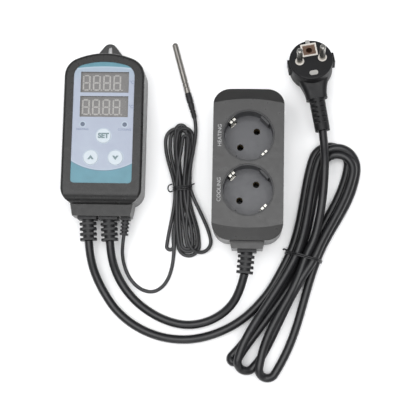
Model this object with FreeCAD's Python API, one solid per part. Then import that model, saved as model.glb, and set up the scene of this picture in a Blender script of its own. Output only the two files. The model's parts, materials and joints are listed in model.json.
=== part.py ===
import FreeCAD, Part
import math
import os
from FreeCAD import Vector

os.makedirs("parts", exist_ok=True)

# Plug-in dual-stage temperature controller, in millimetres.
# Origin: centre of the handset's back face, on the surface that everything rests on.
# +X to the right of the display, +Y towards the hanger tab, +Z out of the display.

# ---- handset -----------------------------------------------------------------
CASE_HALF_W = 33.4
CASE_TOP = 63.4
CASE_BOTTOM = -63.0
CROWN_R = 60.0
SHOULDER_R = 16.0
CORNER_R = 13.0
CASE_H = 33.0
CASE_SPLIT = 13.0
WALL = 2.2
BACK_FLOOR = 2.0
ROLL_R = 10.0              # round at the lower end of the front face
PLATE_UNDER = 30.1         # underside of the front plate
RECESS_Z = 32.1            # floor of the overlay recess
OVERLAY_Z = 32.6           # top of the overlay
TAB_T = 3.0
TAB_TIP_Y = 79.4
TAB_TIP_R = 6.0
TAB_LEAN = 52.0            # how far the tab's sides turn away from its tip
TAB_SIDE_L = 22.0
KEYHOLE_HEAD_R = 3.5
KEYHOLE_HEAD_Y = 68.4
KEYHOLE_SLOT_R = 1.6
KEYHOLE_SLOT_Y = 75.6
BLOCK_END = -72.4
BLOCK_Z0, BLOCK_Z1 = 4.0, 24.5
BLOCK_HALF_ROOT = 25.8
BLOCK_HALF_END = 24.0
GLAND_Z = 14.5

OVERLAY_HALF_W = 25.3
OVERLAY_TOP = 55.6
OVERLAY_BOTTOM = -46.4
OVERLAY_CROWN_R = 62.0
OVERLAY_SHOULDER_R = 10.0
OVERLAY_CORNER_R = 3.0

DISPLAY_X = 0.6
DISPLAY_W, DISPLAY_H = 40.0, 17.6
DISPLAYS = {"upper": 38.2, "lower": 17.6}
DIGIT_W, DIGIT_H = 6.4, 13.4
DIGIT_PITCH = 8.5
DIGIT_FIRST_X = -14.9
BAR = 1.2                  # width of one light bar of a digit
LAMPS = {"heating": (-16.6, 2.6), "cooling": (18.2, 2.6)}
LAMP_R = 1.85
KEYS = {"set": (1.0, -7.1), "up": (-9.0, -25.2), "down": (11.4, -25.2)}
KEY_R = 6.1
KEY_HOLE_R = 6.45
KEY_TRAVEL = 0.5
KEY_STEM_Z = 26.8
KEY_TOP = 33.1

BOARD_TOP = 23.6           # control board, under the displays
BOARD_T = 1.6
POWER_BOARD_Z = 4.5
CASE_SCREWS = [(27.4, 44.0), (-27.4, 44.0), (27.4, -48.0), (-27.4, -48.0)]
BOSS_R = 3.4
SCREW_HEAD_Z = 1.8
SCREW_HEAD_R = 2.7
SCREW_R = 1.4

# ---- socket box --------------------------------------------------------------
BOX_X = 120.2
BOX_HALF_W = 28.75
BOX_TOP, BOX_BOTTOM = 32.5, -91.7
BOX_CORNER_R = 13.7
BOX_H = 42.0
BOX_SPLIT = 14.0
BOX_END_DROP = 5.0         # how far the end zones fall below the middle
BOX_END_RUN = 9.5
BOX_END_ARC_R = 121.0
BOX_GLAND_Z = 20.0
BOX_BLOCK_END = -97.9
WELLS = {"heating": -7.3, "cooling": -51.6}
WELL_R = 20.0
WELL_WALL = 1.2
WELL_FLOOR = 24.5
WELL_FLOOR_T = 3.0
PIN_PITCH = 19.0
CONTACT_HOLE_R = 2.75
CLIP_IN_R = 17.6

# ---- reliefs, cords and plug ----------------------------------------------------
MAINS_D = 7.0
PROBE_D = 3.0
RELIEFS = {"mains": -12.3, "lead": 5.2}
RELIEF_LEAN = {"mains": 4.0, "lead": 4.5}
RELIEF_L = 19.6
PROBE_RELIEF_X = 19.5
PROBE_RELIEF_L = 14.6
SIDE_LEAN = -5.0           # lean of the probe's relief and of the socket box's relief

# Free routes, from exit to hank or far gland: centre lines of the cords as they lie.
MAINS_ROUTE = [
    (-10.9, -91.9, 14.5), (-9.9, -104.0, 12.4), (-6.2, -118.5, 7.4), (1.5, -134.0, 4.0),
    (13.0, -150.0, 3.6), (30.5, -163.0, 3.6), (51.0, -170.6, 3.6), (73.0, -172.2, 3.6),
    (95.0, -167.0, 3.6), (115.0, -156.5, 3.6), (130.0, -142.5, 3.6), (142.0, -127.0, 3.6),
]
LEAD_ROUTE = [
    (6.7, -91.9, 14.5), (7.7, -104.0, 12.4), (11.5, -117.5, 7.2), (19.0, -131.0, 4.0),
    (32.0, -144.5, 3.6), (50.5, -155.5, 3.6), (71.0, -160.5, 3.6), (90.5, -156.5, 4.2),
    (105.8, -146.4, 9.0), (115.0, -132.2, 16.2), (118.5, -117.5, 19.7),
]
PROBE_ROUTE = [
    (18.2, -86.9, 14.5), (17.2, -94.5, 12.6), (16.4, -103.0, 6.8), (18.2, -113.0, 2.2),
    (23.2, -123.0, 1.6), (31.5, -130.8, 1.6), (42.5, -133.6, 1.6), (52.5, -127.0, 1.6),
    (57.8, -114.0, 1.6), (59.3, -98.0, 1.6),
]
PROBE_TAIL = [
    (74.0, 15.4, 3.0), (75.2, 9.0, 2.5), (75.3, 0.0, 1.7), (73.8, -12.5, 1.6), (71.6, -26.0, 1.6),
]
MAINS_TAIL = [(183.0, -10.4, 16.2), (181.6, 2.6, 16.0)]

# Outer shape of the mains hank, seen from above, from the tie's left end round the top.
MAINS_HANK = [
    (153.2, -98.0), (160.5, -64.0), (166.0, -30.0), (177.5, -9.6), (193.0, -4.6), (209.5, -13.8),
    (214.4, -32.0), (207.5, -59.0), (191.5, -86.0), (181.4, -105.0), (171.0, -133.0), (160.0, -170.0),
    (148.0, -196.0), (135.0, -204.4), (117.0, -200.8), (101.8, -190.0), (114.0, -166.0), (133.0, -136.0),
]
MAINS_HANK_H = 14.0
PROBE_HANK = [
    (57.6, -46.0), (54.5, -28.0), (49.4, -8.0), (55.0, 6.5), (64.0, 11.8), (72.5, 4.0), (74.6, -18.0),
    (73.4, -46.0), (84.0, -67.0), (92.0, -85.0), (86.0, -100.0), (70.0, -106.0), (54.0, -99.5),
    (51.5, -86.0), (56.5, -66.0),
]
PROBE_HANK_H = 9.0
MAINS_TIE = (167.0, -101.6, -15.8)
PROBE_TIE = (65.3, -45.6, 2.0)

PROBE_TIP = Vector(55.3, 80.8, 2.5)
PROBE_AXIS = Vector(18.7, -65.4, 0.5)
PROBE_TUBE_R = 2.5
PROBE_TUBE_L = 46.0
PROBE_CRIMPS = (36.6, 40.5)     # from the tip
BOOT_R = 2.6                    # at the tube, swelling a little and then tapering to the cord
BOOT_SWELL_R = 2.8
BOOT_END_R = 1.95
BOOT_SWELL_L = 5.0
BOOT_GROOVES = (9.0, 12.0, 15.0, 18.0)   # from the tube's end

PLUG_FOOT = Vector(170.9, 60.2, 0.0)   # below the centre of the plug's pin face
PLUG_YAW = 10.5
PLUG_TILT = 13.0
PLUG_FACE_Z = 28.0
PLUG_R = 18.0
PLUG_DEPTH = 26.4
PLUG_HEEL_R = 9.0              # rounding of the head where it rests
PLUG_NECK_Z = 16.0
PLUG_NECK_END = -31.6         # where the neck ends and the sleeve starts, from the pins
PLUG_SLEEVE_L = 27.0
PLUG_PIN_R = 2.4
PLUG_PIN_L = 19.0
PLUG_PIN_SEAT = 0.5           # a pin's full width starts this far above the face
PLUG_STEM_R = 2.0             # the thinner stem that holds a pin in the body
PLUG_COLLAR_R = 3.7           # white collar round each pin


def save(name, shape):
    """Write one node and say how big it is."""
    if not shape.isValid():
        raise ValueError("invalid shape: " + name)
    shape.exportStep("parts/" + name + ".step")
    print("%-26s solids %2d  volume %10.1f" % (name, len(shape.Solids), shape.Volume))


def box(x0, x1, y0, y1, z0, z1):
    return Part.makeBox(x1 - x0, y1 - y0, z1 - z0, Vector(x0, y0, z0))


def rod(x, y, z0, z1, r):
    return Part.makeCylinder(r, z1 - z0, Vector(x, y, z0))


def rod_y(x, z, y0, y1, r):
    """Round bar along -Y, from y0 down to y1."""
    return Part.makeCylinder(r, y0 - y1, Vector(x, y0, z), Vector(0, -1, 0))


def group(shapes):
    return shapes[0] if len(shapes) == 1 else Part.makeCompound(shapes)


def fuse(shapes):
    return shapes[0].multiFuse(shapes[1:]).removeSplitter() if len(shapes) > 1 else shapes[0]


def arc(centre, r, a0, a1):
    """Arc about centre from angle a0 to a1, in degrees."""
    def at(a):
        return centre + Vector(r * math.cos(math.radians(a)), r * math.sin(math.radians(a)), 0)
    return Part.Arc(at(a0), at((a0 + a1) / 2.0), at(a1)).toShape()


def prism(wire, z0, z1):
    face = Part.Face(wire)
    face.translate(Vector(0, 0, z0))
    return face.extrude(Vector(0, 0, z1 - z0))


def arched(half_w, top, bottom, crown_r, shoulder_r, corner_r, inset=0.0):
    """Outline with an arched crown, round shoulders and two round lower corners."""
    crown = Vector(0, top - crown_r, 0)
    sx = half_w - shoulder_r
    sy = crown.y + math.sqrt((crown_r - shoulder_r) ** 2 - sx ** 2)
    lean = math.degrees(math.atan2(sy - crown.y, sx))
    cx, cy = half_w - corner_r, bottom + corner_r
    x, y = half_w - inset, bottom + inset
    edges = [
        arc(crown, crown_r - inset, lean, 180 - lean),
        arc(Vector(-sx, sy, 0), shoulder_r - inset, 180 - lean, 180),
        Part.makeLine(Vector(-x, sy, 0), Vector(-x, cy, 0)),
        arc(Vector(-cx, cy, 0), corner_r - inset, 180, 270),
        Part.makeLine(Vector(-cx, y, 0), Vector(cx, y, 0)),
        arc(Vector(cx, cy, 0), corner_r - inset, 270, 360),
        Part.makeLine(Vector(x, cy, 0), Vector(x, sy, 0)),
        arc(Vector(sx, sy, 0), shoulder_r - inset, 0, lean),
    ]
    return Part.Wire(edges)


def rounded(x0, x1, y0, y1, r):
    """Rectangle with round corners."""
    edges = [
        Part.makeLine(Vector(x0 + r, y0, 0), Vector(x1 - r, y0, 0)),
        arc(Vector(x1 - r, y0 + r, 0), r, 270, 360),
        Part.makeLine(Vector(x1, y0 + r, 0), Vector(x1, y1 - r, 0)),
        arc(Vector(x1 - r, y1 - r, 0), r, 0, 90),
        Part.makeLine(Vector(x1 - r, y1, 0), Vector(x0 + r, y1, 0)),
        arc(Vector(x0 + r, y1 - r, 0), r, 90, 180),
        Part.makeLine(Vector(x0, y1 - r, 0), Vector(x0, y0 + r, 0)),
        arc(Vector(x0 + r, y0 + r, 0), r, 180, 270),
    ]
    return Part.Wire(edges)


def polygon(points, z=0.0):
    return Part.makePolygon([Vector(x, y, z) for x, y in points + points[:1]])


def level_edges(shape, z, tol=0.01):
    """Edges that lie wholly at one height."""
    return [e for e in shape.Edges if abs(e.BoundBox.ZMin - z) < tol and abs(e.BoundBox.ZMax - z) < tol]


def case_outline(inset=0.0):
    return arched(CASE_HALF_W, CASE_TOP, CASE_BOTTOM, CROWN_R, SHOULDER_R, CORNER_R, inset)


def overlay_outline(gap=0.0):
    return arched(OVERLAY_HALF_W, OVERLAY_TOP, OVERLAY_BOTTOM, OVERLAY_CROWN_R,
                  OVERLAY_SHOULDER_R, OVERLAY_CORNER_R, gap)


def roll_profile(inset):
    """Block as wide as the handset whose lower front edge is rounded off."""
    cy, cz, r = CASE_BOTTOM + ROLL_R, CASE_H - ROLL_R, ROLL_R - inset
    back = CASE_BOTTOM + inset
    half = r * math.sqrt(0.5)
    wire = Part.Wire([
        Part.makeLine(Vector(0, back, -5), Vector(0, back, cz)),
        Part.Arc(Vector(0, back, cz), Vector(0, cy - half, cz + half), Vector(0, cy, cz + r)).toShape(),
        Part.makeLine(Vector(0, cy, cz + r), Vector(0, CASE_TOP + 5, cz + r)),
        Part.makeLine(Vector(0, CASE_TOP + 5, cz + r), Vector(0, CASE_TOP + 5, -5)),
        Part.makeLine(Vector(0, CASE_TOP + 5, -5), Vector(0, back, -5)),
    ])
    solid = Part.Face(wire).extrude(Vector(2 * CASE_HALF_W + 4, 0, 0))
    solid.translate(Vector(-CASE_HALF_W - 2, 0, 0))
    return solid


def outlet_block(z0, z1, inset=0.0):
    """Slightly tapered block below the case that the cords leave through."""
    root, end = BLOCK_HALF_ROOT - inset, BLOCK_HALF_END - inset
    wire = polygon([(-root, CASE_BOTTOM + 6), (root, CASE_BOTTOM + 6), (root, CASE_BOTTOM),
                    (end, BLOCK_END + inset), (-end, BLOCK_END + inset), (-root, CASE_BOTTOM)])
    return prism(wire, z0, z1)


def gland_holes():
    """Holes through the outlet block's end wall for the three reliefs."""
    holes = [rod_y(x, GLAND_Z, BLOCK_END + 4, BLOCK_END - 1, 4.6) for x in RELIEFS.values()]
    holes.append(rod_y(PROBE_RELIEF_X, GLAND_Z, BLOCK_END + 4, BLOCK_END - 1, 2.6))
    return holes


def screw(x, y, head_z, tip_z):
    """Slotted screw whose head faces down."""
    slot = box(x - 2, x + 2, y - 0.4, y + 0.4, head_z - 1, head_z + 0.9)
    head = rod(x, y, head_z, head_z + 2.2, SCREW_HEAD_R).cut(slot)
    return fuse([head, rod(x, y, head_z + 1.5, tip_z, SCREW_R)])


def handset_shells():
    # back shell: tray, hanger tab, bosses and the lower half of the outlet block
    tray = prism(case_outline(), 0, CASE_SPLIT)
    tray = tray.makeFillet(1.5, level_edges(tray, 0))
    lean = math.radians(TAB_LEAN)
    tip = Vector(0, TAB_TIP_Y - TAB_TIP_R, 0)
    side = tip + Vector(TAB_TIP_R * math.sin(lean), TAB_TIP_R * math.cos(lean), 0)
    foot = side + Vector(math.cos(lean), -math.sin(lean), 0) * TAB_SIDE_L
    tab_wire = Part.Wire([
        Part.Arc(side, Vector(0, TAB_TIP_Y, 0), Vector(-side.x, side.y, 0)).toShape(),
        Part.makeLine(Vector(-side.x, side.y, 0), Vector(-foot.x, foot.y, 0)),
        Part.makeLine(Vector(-foot.x, foot.y, 0), foot),
        Part.makeLine(foot, side),
    ])
    tab = prism(tab_wire, 0, TAB_T)
    slot = box(-KEYHOLE_SLOT_R, KEYHOLE_SLOT_R, KEYHOLE_HEAD_Y, KEYHOLE_SLOT_Y, -1, TAB_T + 1)
    keyhole = fuse([rod(0, KEYHOLE_HEAD_Y, -1, TAB_T + 1, KEYHOLE_HEAD_R), slot,
                    rod(0, KEYHOLE_SLOT_Y, -1, TAB_T + 1, KEYHOLE_SLOT_R)])
    tray = fuse([tray, tab, outlet_block(BLOCK_Z0, CASE_SPLIT)]).cut(keyhole)
    tray = tray.cut(prism(case_outline(WALL), BACK_FLOOR, CASE_SPLIT + 1))
    tray = tray.cut(outlet_block(BLOCK_Z0 + WALL, CASE_SPLIT + 1, WALL))
    tray = fuse([tray] + [rod(x, y, BACK_FLOOR - 0.5, CASE_SPLIT, BOSS_R) for x, y in CASE_SCREWS])
    for x, y in CASE_SCREWS:
        tray = tray.cut(rod(x, y, -1, CASE_SPLIT + 1, 1.6)).cut(rod(x, y, -1, 4.0, 2.9))
    for hole in gland_holes():
        tray = tray.cut(hole)
    save("controller_back_shell", tray)

    # front shell: cover with the recess, openings and the upper half of the outlet block
    cover = prism(case_outline(), CASE_SPLIT, CASE_H)
    cover = cover.makeFillet(2.5, level_edges(cover, CASE_H)).common(roll_profile(0))
    cover = fuse([cover, outlet_block(CASE_SPLIT, BLOCK_Z1)])
    hollow = prism(case_outline(WALL), CASE_SPLIT - 1, PLATE_UNDER).common(roll_profile(WALL))
    cover = cover.cut(hollow).cut(outlet_block(CASE_SPLIT - 1, BLOCK_Z1 - WALL, WALL))
    bosses = [rod(x, y, CASE_SPLIT, PLATE_UNDER + 0.5, BOSS_R) for x, y in CASE_SCREWS]
    cover = fuse([cover] + bosses)
    cover = cover.cut(prism(overlay_outline(), RECESS_Z, CASE_H + 1))
    for x, y in CASE_SCREWS:
        cover = cover.cut(rod(x, y, CASE_SPLIT - 1, 26.0, 1.5))
    for tool in face_openings(CASE_H) + gland_holes():
        cover = cover.cut(tool)
    save("controller_front_shell", cover)


def face_openings(top):
    """Through openings in the front plate and the overlay."""
    tools = []
    for y in DISPLAYS.values():
        tools.append(box(DISPLAY_X - DISPLAY_W / 2, DISPLAY_X + DISPLAY_W / 2,
                         y - DISPLAY_H / 2, y + DISPLAY_H / 2, PLATE_UNDER - 1, top + 1))
    tools += [rod(x, y, PLATE_UNDER - 1, top + 1, KEY_HOLE_R) for x, y in KEYS.values()]
    tools += [rod(x, y, PLATE_UNDER - 1, top + 1, LAMP_R) for x, y in LAMPS.values()]
    return tools


def overlay():
    sheet = prism(overlay_outline(0.1), RECESS_Z, OVERLAY_Z)
    for tool in face_openings(OVERLAY_Z):
        sheet = sheet.cut(tool)
    save("front_overlay", sheet)


def digit_bars(cx, cy, z0, z1):
    """The seven bars and the decimal point of one digit."""
    w, h, b = DIGIT_W / 2, DIGIT_H / 2, BAR
    gap = 0.25
    bars = []
    for y in (h - b / 2, 0.0, -h + b / 2):
        bars.append(box(cx - w + b + gap, cx + w - b - gap, cy + y - b / 2, cy + y + b / 2, z0, z1))
    for x in (-w + b / 2, w - b / 2):
        for low, high in ((-h + b / 2 + gap, -b / 2 - gap + b / 2), (b / 2 + gap - b / 2, h - b / 2 - gap)):
            bars.append(box(cx + x - b / 2, cx + x + b / 2, cy + low, cy + high, z0, z1))
    bars.append(rod(cx + w + 0.9, cy - h + b / 2, z0, z1, b / 2))
    return bars


def displays():
    face_z = 29.9
    for name, y in DISPLAYS.items():
        x0, x1 = DISPLAY_X - DISPLAY_W / 2, DISPLAY_X + DISPLAY_W / 2
        y0, y1 = y - DISPLAY_H / 2, y + DISPLAY_H / 2
        save(name + "_display_window", box(x0, x1, y0, y1, 30.3, OVERLAY_Z))
        save(name + "_display_module", box(x0 - 0.2, x1 + 0.2, y0 - 0.2, y1 + 0.2, BOARD_TOP, face_z))
        bars = []
        for i in range(4):
            bars += digit_bars(DIGIT_FIRST_X + i * DIGIT_PITCH, y, face_z, face_z + 0.15)
        save(name + "_display_segments", group(bars))


def lamps():
    for name, (x, y) in LAMPS.items():
        base = rod(x, y, BOARD_TOP, BOARD_TOP + 1.0, 2.2)
        stem = rod(x, y, BOARD_TOP, OVERLAY_Z, LAMP_R - 0.05)
        save(name + "_indicator", fuse([base, stem]))


def keys():
    for name, (x, y) in KEYS.items():
        cap = rod(x, y, 28.2, KEY_TOP, KEY_R)
        cap = cap.makeFillet(0.4, level_edges(cap, KEY_TOP))
        flange = rod(x, y, 28.2, 29.3, KEY_R + 1.0)
        stem = rod(x, y, KEY_STEM_Z, 28.4, 1.7)
        save(name + "_key", fuse([cap, flange, stem]))
        body = box(x - 3, x + 3, y - 3, y + 3, BOARD_TOP, 27.2)
        save(name + "_switch", body.cut(rod(x, y, KEY_STEM_Z - KEY_TRAVEL - 0.4, 28, 2.1)))


def electronics():
    board = box(-23.8, 23.8, -44.0, 51.0, BOARD_TOP - BOARD_T, BOARD_TOP)
    power = box(-23.8, 23.8, -52.0, 50.0, POWER_BOARD_Z, POWER_BOARD_Z + BOARD_T)
    posts = [(20.0, 46.0), (-20.0, 46.0), (20.0, -40.0), (-20.0, -40.0)]
    low, high = POWER_BOARD_Z + BOARD_T, BOARD_TOP - BOARD_T
    save("control_board", board)
    save("power_board", power)
    lower = [rod(x, y, BACK_FLOOR, POWER_BOARD_Z, 2.5) for x, y in posts]
    save("board_spacers", group([rod(x, y, low, high, 2.5) for x, y in posts] + lower))
    save("heating_relay", box(-18.5, -2.5, -32.0, -12.5, low, low + 15.2))
    save("cooling_relay", box(2.5, 18.5, -32.0, -12.5, low, low + 15.2))
    core = box(-14.0, 8.0, 8.0, 34.0, low, low + 3.0)
    save("transformer", fuse([core, box(-11.0, 5.0, 11.0, 31.0, low, low + 15.0)]))
    save("smoothing_capacitor", rod(15.5, 14.0, low, low + 13.5, 4.0))
    save("buzzer", rod(15.5, 27.0, low, low + 8.0, 6.0))
    block = box(-18.0, 18.0, -50.0, -42.5, low, low + 9.0)
    for i in range(6):
        block = block.cut(rod(-15.0 + 6.0 * i, -46.2, low + 4.0, low + 10.0, 1.8))
    save("terminal_block", block)
    save("controller_case_screws", group([screw(x, y, SCREW_HEAD_Z, 24.0) for x, y in CASE_SCREWS]))


def ribbed_relief(x, z, start, length, lean, core_r, rib_w, rib_h, flange_w, flange_h, neck_r, inner_r):
    """Moulded relief along -Y: flange, round core with flat ribs, and a neck through the wall."""
    ribs = 4
    end = start - length
    flange_t = 2.4
    root = start - 1.0
    flange = box(x - flange_w / 2, x + flange_w / 2, start - flange_t, start,
                 z - flange_h / 2, z + flange_h / 2)
    fixed = [flange, rod_y(x, z, start + WALL + 0.1, root, neck_r),
             rod_y(x, z, start + WALL + 2.0, start + WALL, inner_r)]
    leaning = [Part.makeCone(core_r, core_r * 0.88, root - end, Vector(x, root, z), Vector(0, -1, 0))]
    pitch = (start - flange_t - end) / ribs
    for i in range(ribs):
        y1 = start - flange_t - pitch * (i + 1)
        rib = box(x - rib_w / 2, x + rib_w / 2, y1, y1 + pitch * 0.45, z - rib_h / 2, z + rib_h / 2)
        leaning.append(rib.makeFillet(rib_h * 0.3, [e for e in rib.Edges if e.BoundBox.YLength > 0.5]))
    for piece in leaning:
        piece.rotate(Vector(x, start, z), Vector(0, 0, 1), lean)
    return fuse(fixed + leaning)


def reliefs():
    large = (5.0, 13.6, 10.4, 15.6, 13.0, 4.4, 5.8)
    small = (2.6, 6.8, 6.0, 7.4, 8.0, 2.2, 2.25)
    for name, x in RELIEFS.items():
        save(name + "_strain_relief",
             ribbed_relief(x, GLAND_Z, BLOCK_END, RELIEF_L, RELIEF_LEAN[name], *large))
    save("probe_strain_relief",
         ribbed_relief(PROBE_RELIEF_X, GLAND_Z, BLOCK_END, PROBE_RELIEF_L, SIDE_LEAN, *small))
    save("socket_box_strain_relief",
         ribbed_relief(BOX_X, BOX_GLAND_Z, BOX_BLOCK_END, RELIEF_L, SIDE_LEAN, *large))


def box_outline(inset=0.0):
    return rounded(BOX_X - BOX_HALF_W + inset, BOX_X + BOX_HALF_W - inset,
                   BOX_BOTTOM + inset, BOX_TOP - inset, BOX_CORNER_R - inset)


def box_envelope(inset):
    """Two wide cones that slope both ends of the socket box away from its flat middle."""
    z0, z1 = -5.0, BOX_H - inset
    spread = (z1 - z0) * BOX_END_RUN / BOX_END_DROP
    r = BOX_END_ARC_R
    top = Part.makeCone(r + spread, r, z1 - z0, Vector(BOX_X, BOX_TOP - BOX_END_RUN - r, z0))
    bottom = Part.makeCone(r + spread, r, z1 - z0, Vector(BOX_X, BOX_BOTTOM + BOX_END_RUN + r, z0))
    return top.common(bottom)


def box_block(z0, z1, inset=0.0):
    wire = polygon([(BOX_X - 14.2 + inset, BOX_BOTTOM + 4), (BOX_X + 14.2 - inset, BOX_BOTTOM + 4),
                    (BOX_X + 14.2 - inset, BOX_BOTTOM), (BOX_X + 12.6 - inset, BOX_BLOCK_END + inset),
                    (BOX_X - 12.6 + inset, BOX_BLOCK_END + inset), (BOX_X - 14.2 + inset, BOX_BOTTOM)])
    return prism(wire, z0, z1)


def turned(shape, well_y, angle):
    """Turn a piece made at the origin and set it in a well."""
    out = shape.copy()
    out.rotate(Vector(0, 0, 0), Vector(0, 0, 1), angle)
    out.translate(Vector(BOX_X, well_y, 0))
    return out


def socket_shells():
    screws = [(BOX_X + sx * 22.5, y) for sx in (-1, 1) for y in (BOX_TOP - 8.0, BOX_BOTTOM + 8.0)]
    hole = rod_y(BOX_X, BOX_GLAND_Z, BOX_BLOCK_END + 4, BOX_BLOCK_END - 1, 4.6)
    tray = prism(box_outline(), 0, BOX_SPLIT)
    tray = tray.makeFillet(1.5, level_edges(tray, 0))
    tray = fuse([tray, box_block(8.0, BOX_SPLIT)])
    tray = tray.cut(prism(box_outline(WALL), BACK_FLOOR, BOX_SPLIT + 1))
    tray = tray.cut(box_block(8.0 + WALL, BOX_SPLIT + 1, WALL))
    tray = fuse([tray] + [rod(x, y, BACK_FLOOR - 0.5, BOX_SPLIT, 3.4) for x, y in screws])
    for x, y in screws:
        tray = tray.cut(rod(x, y, -1, BOX_SPLIT + 1, 1.6)).cut(rod(x, y, -1, 4.0, 2.9))
    save("socket_back_shell", tray.cut(hole))

    cover = prism(box_outline(), BOX_SPLIT, BOX_H).common(box_envelope(0))
    cover = fuse([cover, box_block(BOX_SPLIT, 30.0)])
    hollow = prism(box_outline(WALL), BOX_SPLIT - 1, BOX_H - WALL).common(box_envelope(WALL))
    cover = cover.cut(hollow).cut(box_block(BOX_SPLIT - 1, 30.0 - WALL, WALL))
    cover = fuse([cover] + [rod(x, y, BOX_SPLIT, 34.5, 3.4) for x, y in screws])
    for x, y in screws:
        cover = cover.cut(rod(x, y, BOX_SPLIT - 1, 28.0, 1.5))
    for y in WELLS.values():
        cover = cover.cut(rod(BOX_X, y, BOX_SPLIT, BOX_H + 1, WELL_R + WELL_WALL + 0.1))
    save("socket_front_shell", cover.cut(hole))

    save("socket_box_screws", group([screw(x, y, SCREW_HEAD_Z, 26.0) for x, y in screws]))


def wells():
    for name, y in WELLS.items():
        low = WELL_FLOOR - WELL_FLOOR_T
        cup = rod(0, 0, low, BOX_H - 0.3, WELL_R + WELL_WALL).cut(rod(0, 0, WELL_FLOOR, BOX_H + 1, WELL_R))
        ribs = [box(WELL_R - 2.0, WELL_R + 0.6, -4.6, 4.6, WELL_FLOOR - 1, BOX_H - 2.5)]
        ribs.append(ribs[0].rotated(Vector(0, 0, 0), Vector(0, 0, 1), 180))
        cup = fuse([cup] + ribs)
        for s in (-1, 1):
            cup = cup.cut(rod(s * PIN_PITCH / 2, 0, low - 1, WELL_FLOOR + 1, CONTACT_HOLE_R))
            cup = cup.cut(box(-3.4, 3.4, min(s * 16.6, s * 20.4), max(s * 16.6, s * 20.4), low - 1, 39.0))
        save(name + "_socket_well", turned(cup, y, 45))

        strap = box(-2.8, 2.8, -CLIP_IN_R - 0.8, CLIP_IN_R + 0.8, 20.4, 21.2)
        clips = [strap]
        for s in (-1, 1):
            a, b = sorted((s * CLIP_IN_R, s * (CLIP_IN_R + 0.8)))
            leg = box(-2.8, 2.8, a, b, 20.4, 36.5)
            c, d = sorted((s * CLIP_IN_R, s * (CLIP_IN_R + 2.2)))
            lip = box(-2.8, 2.8, c, d, 35.8, 36.6)
            clips.append(leg.cut(box(-0.5, 0.5, -30, 30, 27.0, 40.0)))
            clips.append(lip.cut(box(-0.5, 0.5, -30, 30, 27.0, 40.0)))
        save(name + "_earth_clips", turned(fuse(clips), y, 45))


def contact(well_y, side):
    """Sprung contact under one hole of a well."""
    c = PIN_PITCH / 2 * math.sqrt(0.5) * side
    x, y = BOX_X + c, well_y + c
    return rod(x, y, 10.0, 19.5, 3.8).cut(rod(x, y, 9.0, 20.0, 2.45)), x, y


def contacts():
    upper, ux, uy = contact(WELLS["heating"], 1)
    lower, lx, ly = contact(WELLS["cooling"], 1)
    bar = box(ux + 3.4, ux + 4.4, ly - 3, uy + 3, 10.0, 17.0)
    save("neutral_busbar", fuse([upper, lower, bar]))
    for name, y in WELLS.items():
        body, x, yy = contact(y, -1)
        tail = box(x - 4.4, x - 3.4, yy - 8, yy + 3, 10.0, 17.0)
        save(name + "_live_contact", fuse([body, tail]))


def path_tube(points, diameter, name):
    """Tube along straight runs joined by tangent arcs; prints the radii and the volume ratio."""
    pts = [Vector(*p) for p in points]
    edges, radii = [], []
    start = pts[0]
    for a, b, c in zip(pts, pts[1:], pts[2:]):
        u, v = (b - a), (c - b)
        run = min(u.Length, v.Length)
        u.normalize()
        v.normalize()
        half = math.acos(max(-1.0, min(1.0, u.dot(v)))) / 2
        cut = 0.45 * run
        radii.append(cut / math.tan(half))
        p, q = b - u * cut, b + v * cut
        toward = v - u
        toward.normalize()
        mid = b + toward * (radii[-1] / math.cos(half) - radii[-1])
        edges.append(Part.LineSegment(start, p).toShape())
        edges.append(Part.Arc(p, mid, q).toShape())
        start = q
    edges.append(Part.LineSegment(start, pts[-1]).toShape())
    wire = Part.Wire(edges)
    first = pts[1] - pts[0]
    ring = Part.Wire([Part.makeCircle(diameter / 2, pts[0], first)])
    tube = wire.makePipeShell([ring], True, False)
    ratio = tube.Volume / (math.pi * diameter ** 2 / 4 * wire.Length)
    runs = [(b - a).Length for a, b in zip(pts, pts[1:])]
    print("%s length %.1f ratio %.4f lowest %.2f" % (name, wire.Length, ratio, tube.BoundBox.ZMin))
    print("   radii", " ".join("%.0f" % r for r in radii), " runs", " ".join("%.0f" % r for r in runs))
    return tube


def smooth_prism(points, z0, z1):
    """Solid whose plan is one closed smooth curve through the points."""
    curve = Part.BSplineCurve()
    curve.interpolate([Vector(x, y, 0) for x, y in points], PeriodicFlag=True)
    return prism(Part.Wire([curve.toShape()]), z0, z1)


def tie_ring(place, length, width, height, thick):
    x, y, turn = place
    ring = box(-length / 2, length / 2, -width / 2, width / 2, 0, height)
    ring = ring.cut(box(-length / 2 + thick, length / 2 - thick, -width, width, thick, height - thick))
    ring.rotate(Vector(0, 0, 0), Vector(0, 0, 1), turn)
    ring.translate(Vector(x, y, 0))
    return ring


def cords():
    save("socket_lead", path_tube(LEAD_ROUTE, MAINS_D, "socket_lead"))
    save("mains_cord_run", path_tube(MAINS_ROUTE, MAINS_D, "mains_cord_run"))
    save("probe_cord_run", path_tube(PROBE_ROUTE, PROBE_D, "probe_cord_run"))
    save("probe_cord_tail", path_tube(PROBE_TAIL, PROBE_D, "probe_cord_tail"))
    a, b = Vector(*MAINS_TAIL[0]), Vector(*MAINS_TAIL[1])
    save("mains_cord_tail", Part.makeCylinder(MAINS_D / 2, (b - a).Length, a, b - a))
    hank = smooth_prism(MAINS_HANK, 0, MAINS_HANK_H)
    ridge = box(-4.5, 4.5, 0, 61.6, MAINS_HANK_H - 2, 20.0)
    ridge.rotate(Vector(0, 0, 0), Vector(0, 0, 1), -4.5)
    ridge.translate(Vector(178.6, -71.5, 0))
    save("mains_cord_hank", fuse([hank, ridge]))
    save("probe_cord_hank", smooth_prism(PROBE_HANK, 0, PROBE_HANK_H))
    save("mains_cord_tie", tie_ring(MAINS_TIE, 32.0, 1.9, 15.6, 1.6))
    save("probe_cord_tie", tie_ring(PROBE_TIE, 18.0, 3.0, 10.2, 1.2))


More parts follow.
